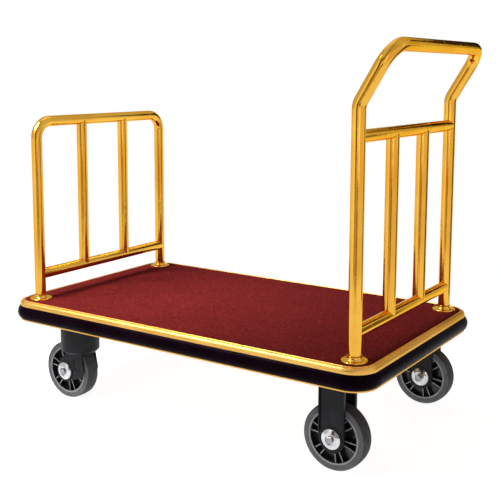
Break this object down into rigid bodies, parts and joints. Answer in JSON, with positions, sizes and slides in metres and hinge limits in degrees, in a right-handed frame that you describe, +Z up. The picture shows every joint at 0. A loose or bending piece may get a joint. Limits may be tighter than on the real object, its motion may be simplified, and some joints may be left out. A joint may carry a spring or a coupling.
{
  "type": "hotel luggage cart",
  "caption": "Hotel luggage cart: carpeted platform with gold edge trim and bumper, tubular end rail, tall push handle, swivel and fixed casters.",
  "frame": {"origin": "on the floor under the middle of the cart's bounding box", "axes": "+X from the rail end to the push handle end, +Y to the far long side, +Z up"},
  "size_m": [1.088, 0.624, 0.926],
  "materials": {
    "carpet": "short cut pile",
    "board": "unfinished plywood",
    "gold_tube": "polished gold",
    "gold_fitting": "polished gold",
    "gold_trim": "gold anodised",
    "bumper": "glossy black",
    "frame_paint": "black powder coat",
    "fork_paint": "satin black",
    "zinc": "zinc plated",
    "chrome": "bright",
    "wheel_core": "moulded black",
    "tyre": "grey non-marking rubber",
    "bush": "acetal"
  },
  "bodies": {
    "platform": {"deck_board": "board", "carpet": "carpet", "edge_trim": "gold_trim", "bumper": "bumper", "end_beam": "frame_paint", "swivel_beam": "frame_paint", "middle_beam": "frame_paint", "fixed_beam": "frame_paint", "rail_hoop": "gold_tube", "rail_crossbar": "gold_tube", "handle_hoop": "gold_tube", "handle_upper_crossbar": "gold_tube", "handle_lower_crossbar": "gold_tube", "flange_screws": "gold_fitting", "post_plugs": "zinc", "post_bolts": "zinc", "post_washers": "zinc", "caster_bolts": "zinc", "caster_nuts": "zinc", "side_beam_front": "frame_paint", "side_beam_back": "frame_paint", "rail_spindle_front": "gold_tube", "rail_spindle_back": "gold_tube", "handle_spindle_front": "gold_tube", "handle_spindle_back": "gold_tube", "rail_flange_front": "gold_fitting", "rail_flange_back": "gold_fitting", "handle_flange_front": "gold_fitting", "handle_flange_back": "gold_fitting", "fixed_fork_front": "fork_paint", "fixed_fork_back": "fork_paint", "fixed_axle_front": "chrome", "fixed_axle_back": "chrome", "fixed_caps_front": "chrome", "fixed_caps_back": "chrome", "swivel_plate_front": "fork_paint", "swivel_plate_back": "fork_paint", "kingpin_front": "zinc", "kingpin_back": "zinc"},
    "swivel_unit_front": {"swivel_fork_front": "fork_paint", "swivel_balls_front": "zinc", "swivel_axle_front": "chrome", "swivel_caps_front": "chrome"},
    "swivel_rolling_front": {"swivel_wheel_front": "wheel_core", "swivel_tyre_front": "tyre", "swivel_bushes_front": "bush"},
    "fixed_rolling_front": {"fixed_wheel_front": "wheel_core", "fixed_tyre_front": "tyre", "fixed_bushes_front": "bush"},
    "swivel_unit_back": {"swivel_fork_back": "fork_paint", "swivel_balls_back": "zinc", "swivel_axle_back": "chrome", "swivel_caps_back": "chrome"},
    "swivel_rolling_back": {"swivel_wheel_back": "wheel_core", "swivel_tyre_back": "tyre", "swivel_bushes_back": "bush"},
    "fixed_rolling_back": {"fixed_wheel_back": "wheel_core", "fixed_tyre_back": "tyre", "fixed_bushes_back": "bush"}
  },
  "joints": [
    {"name": "swivel_front", "type": "hinge", "parent": "platform", "child": "swivel_unit_front", "pos_m": [-0.35, -0.24, 0.182], "axis": [0, 0, 1], "continuous": true},
    {"name": "swivel_wheel_spin_front", "type": "hinge", "parent": "swivel_unit_front", "child": "swivel_rolling_front", "pos_m": [-0.38, -0.24, 0.075], "axis": [0, 1, 0], "continuous": true},
    {"name": "fixed_wheel_spin_front", "type": "hinge", "parent": "platform", "child": "fixed_rolling_front", "pos_m": [0.413, -0.24, 0.075], "axis": [0, 1, 0], "continuous": true},
    {"name": "swivel_back", "type": "hinge", "parent": "platform", "child": "swivel_unit_back", "pos_m": [-0.35, 0.24, 0.182], "axis": [0, 0, 1], "continuous": true},
    {"name": "swivel_wheel_spin_back", "type": "hinge", "parent": "swivel_unit_back", "child": "swivel_rolling_back", "pos_m": [-0.38, 0.24, 0.075], "axis": [0, 1, 0], "continuous": true},
    {"name": "fixed_wheel_spin_back", "type": "hinge", "parent": "platform", "child": "fixed_rolling_back", "pos_m": [0.413, 0.24, 0.075], "axis": [0, 1, 0], "continuous": true}
  ]
}
